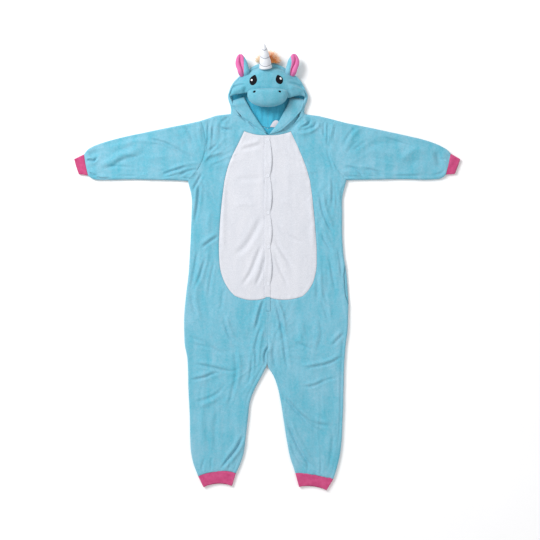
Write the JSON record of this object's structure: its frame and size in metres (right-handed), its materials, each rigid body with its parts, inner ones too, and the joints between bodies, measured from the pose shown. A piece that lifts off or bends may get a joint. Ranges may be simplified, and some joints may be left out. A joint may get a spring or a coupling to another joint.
{
  "type": "child's hooded unicorn onesie, laid out flat",
  "caption": "Child's fleece one-piece costume laid flat: hood with stuffed muzzle, horn and ears, snapped placket, white belly panel, ribbed cuffs.",
  "frame": {"origin": "centre of the bounding box in plan, on the surface that the garment lies on", "axes": "+Z out of the front of the garment, away from the surface; +Y from the ankles to the hood; +X towards the wearer's left"},
  "size_m": [1.157, 1.3265, 0.063],
  "materials": {
    "fleece_blue": "short-napped polyester fleece, sky blue",
    "fleece_white": "short-napped polyester fleece, white",
    "rib_pink": "rib knit, rose pink",
    "ear_pink": "short-napped fleece, bright pink",
    "horn_white": "smooth white cloth, stuffed, wound with grey thread",
    "mane_orange": "long pile fringe, orange",
    "mane_cream": "long pile fringe, cream",
    "eye_black": "dense satin-stitch embroidery, black",
    "snap_white": "moulded plastic press stud, white",
    "label_white": "woven satin tape, white and bare"
  },
  "bodies": {
    "root": {"back_left": "fleece_blue", "back_right": "fleece_blue", "front_left": "fleece_blue", "front_right": "fleece_blue", "belly_left": "fleece_white", "belly_right": "fleece_white", "placket": "fleece_white", "placket_lower": "fleece_blue", "pocket_left": "fleece_blue", "sleeve_left": "fleece_blue", "sleeve_right": "fleece_blue", "wrist_cuff_left": "rib_pink", "wrist_cuff_right": "rib_pink", "ankle_cuff_left": "rib_pink", "ankle_cuff_right": "rib_pink", "hood_left": "fleece_blue", "hood_right": "fleece_blue", "hood_hem_left": "fleece_blue", "hood_hem_right": "fleece_blue", "face": "fleece_blue", "muzzle": "fleece_blue", "eye_left": "eye_black", "eye_right": "eye_black", "glint_left": "fleece_white", "glint_right": "fleece_white", "nostril_left": "eye_black", "nostril_right": "eye_black", "ear_left": "fleece_blue", "ear_right": "fleece_blue", "ear_inner_left": "ear_pink", "ear_inner_right": "ear_pink", "horn": "horn_white", "mane_orange": "mane_orange", "mane_cream": "mane_cream", "care_label": "label_white", "snap_1": "snap_white", "snap_2": "snap_white", "snap_3": "snap_white", "snap_4": "snap_white", "snap_5": "snap_white"}
  },
  "joints": []
}
